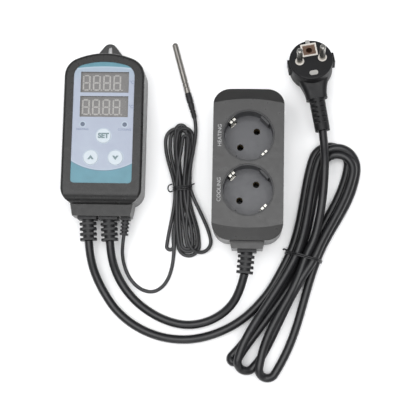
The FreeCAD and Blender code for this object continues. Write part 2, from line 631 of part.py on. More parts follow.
def probe():
    axis = Vector(PROBE_AXIS)
    length = axis.Length
    axis.normalize()
    r = PROBE_TUBE_R
    seat = PROBE_TIP + axis * PROBE_TUBE_L
    nose = Part.makeSphere(r, PROBE_TIP + axis * r)
    tube = fuse([nose, Part.makeCylinder(r, PROBE_TUBE_L - r, PROBE_TIP + axis * r, axis)])
    for along in PROBE_CRIMPS:
        tube = tube.cut(Part.makeTorus(r + 0.8, 1.15, PROBE_TIP + axis * along, axis))
    save("probe_tube", tube)
    taper = length - PROBE_TUBE_L - BOOT_SWELL_L
    boot = fuse([Part.makeCone(BOOT_R, BOOT_SWELL_R, BOOT_SWELL_L, seat, axis),
                 Part.makeCone(BOOT_SWELL_R, BOOT_END_R, taper, seat + axis * BOOT_SWELL_L, axis)])
    for along in BOOT_GROOVES:
        here = BOOT_SWELL_R + (BOOT_END_R - BOOT_SWELL_R) * (along - BOOT_SWELL_L) / taper
        boot = boot.cut(Part.makeTorus(here + 0.45, 0.8, seat + axis * along, axis))
    save("probe_boot", boot)


def plug_place(shape, tilted):
    """From the plug's own frame, +Z along the pins, to where it lies."""
    out = shape.copy()
    if tilted:
        out.rotate(Vector(0, 0, 0), Vector(1, 0, 0), -PLUG_TILT)
        out.translate(Vector(0, 0, PLUG_FACE_Z))
    out.rotate(Vector(0, 0, 0), Vector(0, 0, 1), PLUG_YAW)
    out.translate(PLUG_FOOT)
    return out


def plug():
    pocket = box(-6.5, 6.5, 3.2, 14.8, -14.0, 1.0)
    lower_slot = prism(rounded(-3.6, 3.6, -14.5, -10.3, 2.0), -8.0, 1.0)
    upper_slot = box(-1.8, 1.8, 14.8, 19.0, -16.0, 1.0)
    head = Part.makeCylinder(PLUG_R, PLUG_DEPTH, Vector(0, 0, -PLUG_DEPTH))
    head = head.makeFillet(PLUG_HEEL_R, level_edges(head, -PLUG_DEPTH))
    head = head.makeFillet(1.0, level_edges(head, 0))
    head = fuse([head] + [box(s * 17.4 - 2.0, s * 17.4 + 2.0, -4.5, 4.0, -13.0, -2.0) for s in (-1, 1)])
    neck_wires = []
    for y, z, w, h in ((-8.0, 14.8, 27.0, 19.0), (-20.0, 16.0, 21.5, 16.5), (-26.6, 16.0, 18.0, 14.5),
                       (PLUG_NECK_END, 16.0, 17.6, 13.5)):
        wire = rounded(-w / 2, w / 2, -h / 2, h / 2, 4.5)
        wire.rotate(Vector(0, 0, 0), Vector(1, 0, 0), 90)
        wire.translate(Vector(0, y, z))
        neck_wires.append(wire)
    body = fuse([plug_place(head, True), plug_place(Part.makeLoft(neck_wires, True, False), False)])
    tools = [pocket, lower_slot, upper_slot]
    for s in (-1, 1):
        tools.append(rod(s * PIN_PITCH / 2, 0, -12.0, 1.0, PLUG_STEM_R))
        tools.append(rod(s * PIN_PITCH / 2, 0, -1.0, 1.0, PLUG_COLLAR_R))
    for tool in tools:
        body = body.cut(plug_place(tool, True))
    save("plug_body", body)

    pins = []
    for s in (-1, 1):
        pin = rod(s * PIN_PITCH / 2, 0, PLUG_PIN_SEAT, PLUG_PIN_L, PLUG_PIN_R)
        pin = pin.makeFillet(1.2, level_edges(pin, PLUG_PIN_L))
        pins.append(fuse([pin, rod(s * PIN_PITCH / 2, 0, -12.0, PLUG_PIN_SEAT + 1.0, PLUG_STEM_R)]))
    save("plug_pins", plug_place(group(pins), True))

    collars = []
    for s in (-1, 1):
        collar = rod(s * PIN_PITCH / 2, 0, -1.0, 0.4, PLUG_COLLAR_R)
        collars.append(collar.cut(rod(s * PIN_PITCH / 2, 0, -2.0, 1.0, PLUG_STEM_R + 0.1)))
    frame = box(-6.5, 6.5, 3.2, 14.8, -14.0, 0.4).cut(box(-5.2, 5.2, 4.5, 13.5, -12.0, 1.0))
    save("plug_insert", plug_place(group(collars + [frame]), True))

    tube = box(-5.2, 5.2, 4.5, 13.5, -12.0, -0.6).cut(rod(0, 9.0, -11.0, 0.0, 2.5))
    lower = prism(rounded(-3.6, 3.6, -14.5, -10.3, 2.0), -8.0, 0.3)
    upper = box(-1.8, 1.8, 14.8, 18.2, -16.0, 0.3)
    save("plug_earth_contacts", plug_place(group([tube, lower, upper]), True))

    sleeve = Part.makeCone(6.6, 6.2, PLUG_SLEEVE_L, Vector(0, PLUG_NECK_END, PLUG_NECK_Z), Vector(0, -1, 0))
    for i in range(5):
        y = PLUG_NECK_END - 2.6 - 4.2 * i
        for s in (-1, 1):
            sleeve = sleeve.cut(box(min(s * 1.3, s * 5.6), max(s * 1.3, s * 5.6), y - 1.7, y,
                                    PLUG_NECK_Z + 3.6, PLUG_NECK_Z + 9))
    save("plug_sleeve", plug_place(sleeve, False))


handset_shells()
overlay()
displays()
lamps()
keys()
electronics()
reliefs()
socket_shells()
wells()
contacts()
cords()
probe()
plug()
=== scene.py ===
import json
import math

import bmesh
import bpy
from mathutils import Matrix, Vector


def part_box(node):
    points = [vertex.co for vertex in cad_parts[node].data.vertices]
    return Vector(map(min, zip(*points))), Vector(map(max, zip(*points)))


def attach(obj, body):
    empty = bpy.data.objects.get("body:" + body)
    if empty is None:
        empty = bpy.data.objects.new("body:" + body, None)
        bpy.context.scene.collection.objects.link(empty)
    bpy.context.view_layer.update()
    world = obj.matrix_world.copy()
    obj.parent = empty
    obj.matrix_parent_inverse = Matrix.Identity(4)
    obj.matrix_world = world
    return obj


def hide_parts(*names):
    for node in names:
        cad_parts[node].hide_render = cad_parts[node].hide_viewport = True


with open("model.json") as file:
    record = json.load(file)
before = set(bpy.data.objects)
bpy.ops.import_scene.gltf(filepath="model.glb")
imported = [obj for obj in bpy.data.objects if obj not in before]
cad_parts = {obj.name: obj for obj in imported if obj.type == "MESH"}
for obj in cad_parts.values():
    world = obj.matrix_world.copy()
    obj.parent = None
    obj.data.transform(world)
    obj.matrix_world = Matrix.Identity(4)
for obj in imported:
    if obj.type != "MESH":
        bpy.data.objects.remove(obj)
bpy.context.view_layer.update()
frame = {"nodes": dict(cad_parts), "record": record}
RECORD = frame["record"]
ROOT = "controller"
MM = 0.001

# ---- camera, light and floor -------------------------------------------------
CAMERA_AT = Vector((0.12406, -0.17824, 0.880))
CAMERA_TO = Vector((0.07996, -0.05464, 0.0))
CAMERA_UP = Vector((-0.0209, 0.9998, 0.0))
CAMERA_LENS = 95.0
LAYOUT_MIDDLE = (0.09, -0.06)
FLOOR_HALF = 10.0
FLOOR_GAP = 0.0002
FLOOR_WHITE = 0.93
SKY_LOW = (0.04, 0.04, 0.045, 1)
SKY_HIGH = (0.40, 0.41, 0.43, 1)
SKY_HIGH_FROM = 0.9
# Name, place, target, width, height, power in watts, and whether gloss shows it.
SOFTBOXES = (
    ("overhead_softbox", (-0.05, -0.18, 1.35), (-0.05, -0.179, 0.0), 1.5, 1.15, 17.5, True),
    ("front_softbox", (0.05, -1.45, 0.95), (*LAYOUT_MIDDLE, 0.0), 1.1, 0.6, 4.5, True),
    ("right_fill", (1.25, 0.15, 0.85), (*LAYOUT_MIDDLE, 0.0), 0.9, 0.8, 7.5, False),
    ("left_fill", (-1.15, 0.10, 0.85), (*LAYOUT_MIDDLE, 0.0), 0.9, 0.8, 7.0, False),
    ("back_fill", (0.09, 1.20, 0.80), (*LAYOUT_MIDDLE, 0.0), 1.0, 0.7, 6.0, False),
)


def camera():
    data = bpy.data.cameras.new("camera")
    data.lens = CAMERA_LENS
    data.sensor_width = 36.0
    data.clip_start, data.clip_end = 0.05, 20.0
    obj = bpy.data.objects.new("camera", data)
    bpy.context.scene.collection.objects.link(obj)
    back = (CAMERA_AT - CAMERA_TO).normalized()
    right = CAMERA_UP.cross(back).normalized()
    up = back.cross(right)
    obj.matrix_world = Matrix((
        (right.x, up.x, back.x, CAMERA_AT.x),
        (right.y, up.y, back.y, CAMERA_AT.y),
        (right.z, up.z, back.z, CAMERA_AT.z),
        (0, 0, 0, 1)))
    bpy.context.scene.camera = obj


def softbox(name, place, target, width, height, power, in_gloss):
    data = bpy.data.lights.new(name, "AREA")
    data.shape = "RECTANGLE"
    data.size, data.size_y = width, height
    data.energy = power
    obj = bpy.data.objects.new(name, data)
    bpy.context.scene.collection.objects.link(obj)
    obj.location = place
    obj.rotation_mode = "QUATERNION"
    obj.rotation_quaternion = (Vector(target) - Vector(place)).to_track_quat("-Z", "Y")
    obj.visible_glossy = in_gloss


def lights():
    for row in SOFTBOXES:
        softbox(*row)
    world = bpy.data.worlds.new("studio")
    bpy.context.scene.world = world
    world.use_nodes = True
    tree = world.node_tree
    background = tree.nodes["Background"]
    place = tree.nodes.new("ShaderNodeTexCoord")
    split = tree.nodes.new("ShaderNodeSeparateXYZ")
    ramp = tree.nodes.new("ShaderNodeValToRGB")
    tree.links.new(place.outputs["Generated"], split.inputs[0])
    tree.links.new(split.outputs["Z"], ramp.inputs["Fac"])
    tree.links.new(ramp.outputs["Color"], background.inputs["Color"])
    low, high = ramp.color_ramp.elements
    low.position = 0.0
    low.color = SKY_LOW
    high.position = SKY_HIGH_FROM
    high.color = SKY_HIGH
    bpy.context.scene.view_settings.view_transform = "Standard"


def floor():
    mesh = bpy.data.meshes.new("floor")
    form = bmesh.new()
    bmesh.ops.create_grid(form, x_segments=8, y_segments=8, size=FLOOR_HALF)
    form.to_mesh(mesh)
    form.free()
    obj = bpy.data.objects.new("floor", mesh)
    bpy.context.scene.collection.objects.link(obj)
    obj.location = (*LAYOUT_MIDDLE, -FLOOR_GAP)
    paint = bpy.data.materials.new("floor_paper")
    paint.use_nodes = True
    shader = paint.node_tree.nodes["Principled BSDF"]
    shader.inputs["Base Color"].default_value = (FLOOR_WHITE, FLOOR_WHITE, FLOOR_WHITE, 1)
    shader.inputs["Roughness"].default_value = 0.9
    shader.inputs["Specular IOR Level"].default_value = 0.1
    mesh.materials.append(paint)


# ---- materials ---------------------------------------------------------------
class Nodes:
    """Short hands for one material's node tree, in object coordinates (metres)."""

    def __init__(self, name):
        self.material = bpy.data.materials.new(name)
        self.material.use_nodes = True
        self.tree = self.material.node_tree
        self.shader = self.tree.nodes["Principled BSDF"]
        self.place = self.tree.nodes.new("ShaderNodeTexCoord").outputs["Object"]

    def link(self, source, target):
        self.tree.links.new(source, target)

    def noise(self, scale, detail=3.0, rough=0.55, stretch=None):
        node = self.tree.nodes.new("ShaderNodeTexNoise")
        node.inputs["Scale"].default_value = scale
        node.inputs["Detail"].default_value = detail
        node.inputs["Roughness"].default_value = rough
        source = self.place
        if stretch:
            mapping = self.tree.nodes.new("ShaderNodeMapping")
            mapping.inputs["Scale"].default_value = stretch
            self.link(source, mapping.inputs["Vector"])
            source = mapping.outputs["Vector"]
        self.link(source, node.inputs["Vector"])
        return node.outputs["Fac"]

    def spread(self, value, low, high, start=0.3, end=0.7):
        """Map start..end, which is a texture's usual range unless given, to low..high."""
        node = self.tree.nodes.new("ShaderNodeMapRange")
        node.inputs["From Min"].default_value = start
        node.inputs["From Max"].default_value = end
        node.inputs["To Min"].default_value = low
        node.inputs["To Max"].default_value = high
        self.link(value, node.inputs["Value"])
        return node.outputs["Result"]

    def arithmetic(self, operation, a, b):
        node = self.tree.nodes.new("ShaderNodeMath")
        node.operation = operation
        for socket, value in zip(node.inputs, (a, b)):
            if isinstance(value, (int, float)):
                socket.default_value = value
            else:
                self.link(value, socket)
        return node.outputs[0]

    def mix(self, share, first, second):
        node = self.tree.nodes.new("ShaderNodeMix")
        node.data_type = "RGBA"
        self.link(share, node.inputs["Factor"])
        for socket, value in ((node.inputs[6], first), (node.inputs[7], second)):
            if isinstance(value, tuple):
                socket.default_value = (*value, 1)
            else:
                self.link(value, socket)
        return node.outputs[2]

    def bump(self, height, strength, depth):
        node = self.tree.nodes.new("ShaderNodeBump")
        node.inputs["Strength"].default_value = strength
        node.inputs["Distance"].default_value = depth
        self.link(height, node.inputs["Height"])
        self.link(node.outputs["Normal"], self.shader.inputs["Normal"])

    def constants(self, **values):
        for key, value in values.items():
            self.shader.inputs[key.replace("_", " ")].default_value = value


def tone(colour, share):
    return tuple(min(1.0, c * share) for c in colour)


def moulded(name, colour, rough, grain=1800.0, depth=0.00005, vary=0.10, strength=0.35, **constants):
    """Moulded plastic or rubber: fine spark-eroded grain, faint flow clouds and uneven gloss."""
    n = Nodes(name)
    cloud = n.noise(70.0, 4.0)
    speckle = n.noise(grain, 2.0)
    base = n.mix(n.spread(cloud, 0, 1), tone(colour, 1 - vary), tone(colour, 1 + vary))
    fleck = n.mix(n.spread(speckle, 0, 0.35), base, tone(colour, 1 + 3 * vary))
    n.link(fleck, n.shader.inputs["Base Color"])
    n.link(n.spread(n.noise(240.0, 3.0), rough - 0.06, rough + 0.06), n.shader.inputs["Roughness"])
    n.bump(speckle, strength, depth)
    n.constants(**constants)
    return n.material


def metal(name, colour, rough, stretch, vary=0.08, depth=0.00002):
    """Bare or plated metal with fine drawing lines along one direction."""
    n = Nodes(name)
    lines = n.noise(900.0, 3.0, stretch=stretch)
    cloud = n.noise(160.0, 3.0)
    n.link(n.mix(n.spread(cloud, 0, 1), tone(colour, 1 - vary), tone(colour, 1 + vary)),
           n.shader.inputs["Base Color"])
    n.link(n.spread(lines, rough - 0.08, rough + 0.10), n.shader.inputs["Roughness"])
    n.bump(lines, 0.25, depth)
    n.constants(Metallic=1.0)
    return n.material


def sheath(name, colour, rough, waviness):
    """Extruded cord sheath: slow waviness from the cores inside and a faint handling bloom."""
    n = Nodes(name)
    slow = n.noise(150.0, 2.0)
    fine = n.noise(1500.0, 2.0)
    n.link(n.mix(n.spread(n.noise(60.0, 3.0), 0, 1), tone(colour, 0.8), tone(colour, 1.35)),
           n.shader.inputs["Base Color"])
    n.link(n.spread(fine, rough - 0.05, rough + 0.09), n.shader.inputs["Roughness"])
    n.bump(n.arithmetic("ADD", n.arithmetic("MULTIPLY", slow, 6.0), fine), 0.3, waviness)
    return n.material


FIELD = (0.262, 0.290, 0.362)
FIELD_PALE = (0.290, 0.325, 0.392)
HALO = (0.33, 0.40, 0.46)
SHOULDER = (0.180, 0.285, 0.335)
TEAL = (0.075, 0.200, 0.248)
TEAL_DEEP = (0.064, 0.170, 0.214)
EDGE_LINE = (0.085, 0.150, 0.200)
# The film's print: the crescent at its top and the band at its foot are both outside of a circle.
CRESCENT_X = 0.001
CRESCENT_TOP = 0.0516
CRESCENT_R = 0.184
BAND_CENTRE = (0.0013, 0.0143)
BAND_R = 0.0500
SHADE_REACH = 0.013
SHADE_SHARE = 0.42
PRINT_BLUR = 0.0001


def from_centre(n, x, y):
    """Distance in the face's plane from a vertical axis at (x, y)."""
    node = n.tree.nodes.new("ShaderNodeVectorMath")
    node.operation = "DISTANCE"
    flat = n.tree.nodes.new("ShaderNodeVectorMath")
    flat.operation = "MULTIPLY"
    flat.inputs[1].default_value = (1, 1, 0)
    n.link(n.place, flat.inputs[0])
    n.link(flat.outputs[0], node.inputs[0])
    node.inputs[1].default_value = (x, y, 0)
    return node.outputs["Value"]


def printed_film(name):
    """The front film: pale field shaded under a teal crescent, and a teal band, each with a light edge."""
    n = Nodes(name)
    cloud = n.noise(55.0, 3.0)
    field = n.mix(n.spread(cloud, 0, 1), FIELD, FIELD_PALE)
    teal = n.mix(n.spread(n.noise(90.0, 3.0), 0, 1), TEAL_DEEP, TEAL)
    crescent = from_centre(n, CRESCENT_X, CRESCENT_TOP - CRESCENT_R)
    band = from_centre(n, *BAND_CENTRE)
    shade = n.spread(crescent, 0, SHADE_SHARE, CRESCENT_R - SHADE_REACH, CRESCENT_R)
    colour = n.mix(shade, field, SHOULDER)
    for away, edge, halo, rim in ((crescent, CRESCENT_R, 0.0014, 0.0), (band, BAND_R, 0.0010, 0.0007)):
        colour = n.mix(n.spread(away, 0, 1, edge - halo, edge), colour, HALO)
        for start, ink in ((edge, EDGE_LINE), (edge + rim, teal)):
            colour = n.mix(n.spread(away, 0, 1, start - PRINT_BLUR, start + PRINT_BLUR), colour, ink)
    n.link(colour, n.shader.inputs["Base Color"])
    grain = n.noise(2600.0, 2.0)
    n.link(n.spread(grain, 0.30, 0.42), n.shader.inputs["Roughness"])
    n.bump(grain, 0.15, 0.00002)
    return n.material


def clear_window(name):
    """Clear window, seen through, with a soft moulded gloss."""
    n = Nodes(name)
    n.link(n.mix(n.spread(n.noise(120.0), 0, 1), (0.24, 0.235, 0.23), (0.28, 0.275, 0.27)),
           n.shader.inputs["Base Color"])
    n.link(n.spread(n.noise(700.0), 0.24, 0.32), n.shader.inputs["Roughness"])
    n.constants(Alpha=0.22)
    return n.material


# Heights over which painted shade darkens a well, from its floor to its wall and from its wall to its rim.
WELL_WALL_SHADE_Z = (0.0255, 0.0300)
WELL_RIM_SHADE_Z = (0.0385, 0.0405)
WELL_WALL_SHADE_SHARE = 0.62


def well_plastic_with_painted_shade(name):
    """Moulded well: grey floor, walls darkened by painted shade, and a rim painted black as shade where it
    meets the case.
    """
    n = Nodes(name)
    split = n.tree.nodes.new("ShaderNodeSeparateXYZ")
    n.link(n.place, split.inputs[0])
    # Painted shade: the rim goes black near the top of the well, and the walls darken above its floor.
    rim = n.spread(split.outputs["Z"], 0, 1, *WELL_RIM_SHADE_Z)
    wall_shade = n.spread(split.outputs["Z"], 0, WELL_WALL_SHADE_SHARE, *WELL_WALL_SHADE_Z)
    speckle = n.noise(1500.0, 2.0)
    grey = n.mix(n.spread(n.noise(70.0, 4.0), 0, 1), (0.066, 0.067, 0.072), (0.082, 0.083, 0.089))
    grey = n.mix(n.spread(speckle, 0, 0.3), grey, (0.11, 0.11, 0.12))
    grey = n.mix(wall_shade, grey, (0.014, 0.014, 0.015))
    n.link(n.mix(rim, grey, (0.012, 0.012, 0.013)), n.shader.inputs["Base Color"])
    n.link(n.spread(n.noise(240.0, 3.0), 0.36, 0.48), n.shader.inputs["Roughness"])
    n.bump(speckle, 0.35, 0.00005)
    return n.material


# The plug's pin face: its lean back and turn in degrees, and its middle.
PLUG_TILT = 13
PLUG_YAW = 10.5
PLUG_FACE = (0.1709, 0.0602, 0.0280)


def plug_contact_metal(name):
    """Earth contacts of the plug: bright strips flush with the face, a dull socket sunk below it."""
    n = Nodes(name)
    lean, turn = math.radians(PLUG_TILT), math.radians(PLUG_YAW)
    axis = Vector((-math.sin(turn) * math.sin(lean), math.cos(turn) * math.sin(lean), math.cos(lean)))
    height = n.tree.nodes.new("ShaderNodeVectorMath")
    height.operation = "DOT_PRODUCT"
    height.inputs[1].default_value = axis
    n.link(n.place, height.inputs[0])
    level = axis.dot(Vector(PLUG_FACE))
    flush = n.spread(height.outputs["Value"], 0, 1, level - 0.0004, level - 0.0002)
    dull = n.mix(n.spread(n.noise(700.0), 0, 1), (0.28, 0.18, 0.13), (0.36, 0.24, 0.18))
    n.link(n.mix(flush, dull, (0.80, 0.78, 0.73)), n.shader.inputs["Base Color"])
    n.link(n.spread(n.noise(900.0), 0.36, 0.50), n.shader.inputs["Roughness"])
    n.constants(Metallic=1.0)
    return n.material


def circuit_board(name):
    """Solder resist over copper tracks."""
    n = Nodes(name)
    tracks = n.tree.nodes.new("ShaderNodeTexBrick")
    tracks.inputs["Scale"].default_value = 260.0
    tracks.inputs["Mortar Size"].default_value = 0.06
    n.link(n.place, tracks.inputs["Vector"])
    tracks.inputs["Color1"].default_value = (0.016, 0.13, 0.055, 1)
    tracks.inputs["Color2"].default_value = (0.020, 0.16, 0.070, 1)
    tracks.inputs["Mortar"].default_value = (0.045, 0.24, 0.11, 1)
    n.link(tracks.outputs["Color"], n.shader.inputs["Base Color"])
    n.link(n.spread(n.noise(500.0), 0.25, 0.4), n.shader.inputs["Roughness"])
    n.bump(tracks.outputs["Fac"], 0.3, 0.00003)
    return n.material


def materials():
    made = {
        "case_black": moulded("case_black", (0.0200, 0.0195, 0.0190), 0.33, strength=0.22),
        "front_black": moulded("front_black", (0.0140, 0.0138, 0.0136), 0.30, strength=0.22,
                               Specular_IOR_Level=0.32),
        "overlay_print": printed_film("overlay_print"),
        "window_clear": clear_window("window_clear"),
        "display_grey": moulded("display_grey", (0.125, 0.121, 0.118), 0.42, 900.0, vary=0.05, strength=0.1),
        "segment_white": moulded("segment_white", (0.52, 0.505, 0.48), 0.40, 2600.0, vary=0.03, strength=0.1),
        "lamp_tint": moulded("lamp_tint", (0.055, 0.075, 0.115), 0.22, 1200.0, vary=0.12),
        "key_white": moulded("key_white", (0.42, 0.465, 0.50), 0.42, 2400.0, vary=0.03, strength=0.2),
        "part_black": moulded("part_black", (0.030, 0.030, 0.031), 0.5),
        "board_green": circuit_board("board_green"),
        "relay_blue": moulded("relay_blue", (0.03, 0.12, 0.40), 0.3),
        "terminal_green": moulded("terminal_green", (0.05, 0.30, 0.14), 0.35),
        "nylon_white": moulded("nylon_white", (0.78, 0.78, 0.76), 0.45),
        "screw_steel": metal("screw_steel", (0.42, 0.42, 0.43), 0.35, (1, 1, 0.2)),
        "relief_black": moulded("relief_black", (0.0125, 0.0125, 0.0135), 0.46, 1200.0, 0.00006,
                                Specular_IOR_Level=0.35),
        "well_grey": well_plastic_with_painted_shade("well_grey"),
        "contact_bright": metal("contact_bright", (0.42, 0.41, 0.38), 0.30, (1, 1, 0.1)),
        "plug_contact_metal": plug_contact_metal("plug_contact_metal"),
        "contact_brass": metal("contact_brass", (0.060, 0.045, 0.022), 0.45, (1, 0.1, 1)),
        "mains_sheath": sheath("mains_sheath", (0.0075, 0.0075, 0.0084), 0.36, 0.00004),
        "probe_sheath": sheath("probe_sheath", (0.020, 0.020, 0.021), 0.44, 0.00002),
        "tie_black": moulded("tie_black", (0.010, 0.010, 0.011), 0.40, 900.0),
        "probe_steel": metal("probe_steel", (0.30, 0.285, 0.262), 0.34, (1.0, 0.06, 1.0)),
        "plug_black": moulded("plug_black", (0.0085, 0.0085, 0.0090), 0.50, 1300.0, 0.00006,
                              Specular_IOR_Level=0.30),
        "plug_insert_white": moulded("plug_insert_white", (0.50, 0.47, 0.43), 0.40, 1600.0, vary=0.04),
        "print_white": moulded("print_white", (0.30, 0.30, 0.30), 0.45, 2400.0, vary=0.06),
        "print_slate": moulded("print_slate", (0.13, 0.16, 0.24), 0.45, 2400.0, vary=0.06),
        "print_teal": moulded("print_teal", (0.115, 0.165, 0.175), 0.45, 2400.0, vary=0.08),
        "lamp_ring": moulded("lamp_ring", (0.32, 0.37, 0.43), 0.40, 2400.0, vary=0.04),
    }
    # Nodes whose finish differs from the rest of their slot.
    own = {"plug_sleeve": "plug_black", "controller_front_shell": "front_black",
           "plug_earth_contacts": "plug_contact_metal"}
    for row in RECORD["subparts"]:
        for place in frame["nodes"][row["node"]].material_slots:
            place.material = made[own.get(row["node"], row["material_slot"])]
    return made


# ---- pieces ------------------------------------------------------------------
def piece(name, mesh, material, body):
    """A mesh that rides on a body and takes its finish from a slot of the record."""
    obj = bpy.data.objects.new(name, mesh)
    bpy.context.scene.collection.objects.link(obj)
    mesh.materials.clear()
    mesh.materials.append(PAINT[material])
    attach(obj, body)
    return obj


def line(name, points, diameter, material):
    """A round cord or wire along one smooth open spline."""
    data = bpy.data.curves.new(name, "CURVE")
    data.dimensions = "3D"
    data.bevel_depth = diameter / 2
    data.bevel_resolution = 5
    data.resolution_u = 6
    data.use_fill_caps = True
    spline = data.splines.new("NURBS")
    spline.points.add(len(points) - 1)
    for knot, place in zip(spline.points, points):
        knot.co = (*place, 1.0)
    spline.order_u = 3
    spline.use_endpoint_u = True
    data.materials.append(PAINT[material])
    obj = bpy.data.objects.new(name, data)
    bpy.context.scene.collection.objects.link(obj)
    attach(obj, ROOT)
    return obj


def smooth_step(t):
    return t * t * (3 - 2 * t)


def bezier(a, b, c, d, t):
    s = 1 - t
    return a * s ** 3 + b * 3 * s * s * t + c * 3 * s * t * t + d * t ** 3


PULL = (0.38, 0.38)


class Hank:
    """Cord folded to and fro through a tie: end loops joined by legs that meet under the tie."""

    def __init__(self, x, y, turn_deg, leg_points, arc_points):
        turn = math.radians(turn_deg)
        self.tie = Vector((x, y, 0))
        self.across = Vector((math.cos(turn), math.sin(turn), 0))
        self.up = Vector((-math.sin(turn), math.cos(turn), 0))
        self.leg_points = leg_points
        self.arc_points = arc_points

    def under_tie(self, strand):
        """Where a strand passes the tie: how far across, and how high."""
        return self.tie + self.across * strand[0] + Vector((0, 0, strand[1]))

    def leg(self, start, start_way, end, end_way, pull):
        """Points from start to end, both left out, that leave and arrive along the two ways."""
        reach = (end - start).length
        b = start + start_way * reach * pull[0]
        c = end - end_way * reach * pull[1]
        points = []
        for i in range(1, self.leg_points + 1):
            t = i / (self.leg_points + 1)
            place = bezier(start, b, c, end, t)
            place.z = start.z + (end.z - start.z) * smooth_step(t)
            points.append(place)
        return points

    def end_loop(self, leave, enter, centre, radius, angles, heights, side, lean=(0, 0),
                 out_pull=PULL, back_pull=PULL):
        """One end loop, clockwise: from strand leave, round centre, back to strand enter."""
        low, tip, high = heights
        a0, a1 = (math.radians(a) for a in angles)
        ring = []
        for i in range(self.arc_points):
            share = i / (self.arc_points - 1)
            a = a0 + (a1 - a0) * share
            if share < 0.5:
                z = low + (tip - low) * smooth_step(2 * share)
            else:
                z = tip + (high - tip) * smooth_step(2 * share - 1)
            ring.append(Vector((centre[0] + radius * math.cos(a), centre[1] + radius * math.sin(a), z)))
        ways = [Vector((math.sin(a), -math.cos(a), 0)) for a in (a0, a1)]
        start, end = self.under_tie(leave), self.under_tie(enter)
        out_way, in_way = (Matrix.Rotation(math.radians(a), 3, "Z") @ self.up for a in lean)
        out = self.leg(start, out_way * side, ring[0], ways[0], out_pull)
        back = self.leg(ring[-1], ways[1], end, in_way * -side, back_pull)
        return [start] + out + ring + back

    def cord_points(self, route, loops, last, tail):
        """A whole cord in metres: its run, the turns of the hank, the strand that leaves it, its tail."""
        turns = []
        for loop in loops:
            turns += self.end_loop(**loop)
        turns.append(self.under_tie(last))
        return [Vector(p) for p in route] + [p * MM for p in turns] + [Vector(p) for p in tail]


UPPER, LOWER = 1, -1


# ---- mains cord --------------------------------------------------------------
# Routes are in metres; ties, strands and loops are in millimetres.
MAINS_D = 7.0
MAINS_TIE = (167.0, -101.6)
MAINS_TIE_TURN = -15.8
MAINS_HANK_TURN = -19.6
MAINS_ROUTE = [
    (-0.0109, -0.0919, 0.0145), (-0.0099, -0.1040, 0.0124), (-0.0062, -0.1185, 0.0074),
    (0.0015, -0.1340, 0.0040), (0.0130, -0.1500, 0.0036), (0.0305, -0.1630, 0.0036),
    (0.0510, -0.1706, 0.0036), (0.0730, -0.1722, 0.0036), (0.0950, -0.1670, 0.0036),
    (0.1150, -0.1565, 0.0036), (0.1300, -0.1425, 0.0036), (0.1420, -0.1270, 0.0036),
]
MAINS_TAIL = [
    (0.1754, -0.0880, 0.0126), (0.1790, -0.0730, 0.0140), (0.1814, -0.0575, 0.0158),
    (0.1828, -0.0420, 0.0172), (0.1834, -0.0270, 0.0178), (0.1834, -0.0180, 0.0172),
    (0.1829, -0.0104, 0.0162), (0.1816, 0.0026, 0.0160),
]
# The strands in the tie, from left to right: four on the wire's lower side, three on top of them.
LOW_A, LOW_B, LOW_C, LOW_D = (-11.0, 4.9), (-3.7, 4.9), (3.7, 4.9), (11.0, 4.9)
TOP_A, TOP_B, TOP_C = (-6.0, 11.5), (1.4, 11.5), (8.7, 11.5)
MAINS_LOOPS = [
    dict(leave=LOW_A, enter=LOW_C, side=UPPER, centre=(188.6, -23.2), radius=15.4,
         angles=(165, -11), heights=(3.6, 3.6, 3.6)),
    dict(leave=LOW_C, enter=LOW_B, side=LOWER, centre=(110.8, -186.3), radius=3.0,
         angles=(-15, -230), heights=(6.5, 5.0, 3.6), lean=(-8, -6), out_pull=(0.36, 0.08),
         back_pull=(0.12, 0.36)),
    dict(leave=LOW_B, enter=TOP_C, side=UPPER, centre=(194.0, -29.0), radius=13.4,
         angles=(165, -12), heights=(5.0, 9.0, 10.6)),
    dict(leave=TOP_C, enter=TOP_A, side=LOWER, centre=(121.0, -188.6), radius=7.4,
         angles=(-52, -191), heights=(3.6, 6.2, 12.6), lean=(-18, -5), out_pull=(0.38, 0.17),
         back_pull=(0.24, 0.38)),
    dict(leave=TOP_A, enter=LOW_D, side=UPPER, centre=(194.2, -27.2), radius=17.0,
         angles=(165, -8), heights=(9.6, 10.4, 3.6)),
    dict(leave=LOW_D, enter=TOP_B, side=LOWER, centre=(138.2, -194.4), radius=7.2,
         angles=(-32, -187), heights=(3.6, 4.6, 9.6), lean=(0, 6)),
]


def mains_cord():
    hank = Hank(*MAINS_TIE, MAINS_HANK_TURN, leg_points=5, arc_points=7)
    points = hank.cord_points(MAINS_ROUTE, MAINS_LOOPS, TOP_B, MAINS_TAIL)
    cord = line("mains_cord", points, MAINS_D * MM, "mains_sheath")
    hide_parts("mains_cord_run", "mains_cord_hank", "mains_cord_tail")
    return cord


# ---- probe cord --------------------------------------------------------------
PROBE_D = 3.0
PROBE_TIE = (65.3, -45.6)
PROBE_HANK_TURN = 2.0
PROBE_ROUTE = [
    (0.0182, -0.0869, 0.0145), (0.0172, -0.0945, 0.0126), (0.0164, -0.1030, 0.0068),
    (0.0182, -0.1130, 0.0022), (0.0232, -0.1230, 0.0016), (0.0315, -0.1308, 0.0016),
    (0.0425, -0.1336, 0.0016), (0.0525, -0.1270, 0.0016), (0.0578, -0.1140, 0.0016),
    (0.0593, -0.0980, 0.0016), (0.0594, -0.0800, 0.0016), (0.0600, -0.0620, 0.0018),
]
PROBE_TAIL = [
    (0.0716, -0.0260, 0.0060), (0.0738, -0.0125, 0.0040), (0.0753, 0.0000, 0.0024),
    (0.0752, 0.0090, 0.0026), (0.0740, 0.0154, 0.0030),
]
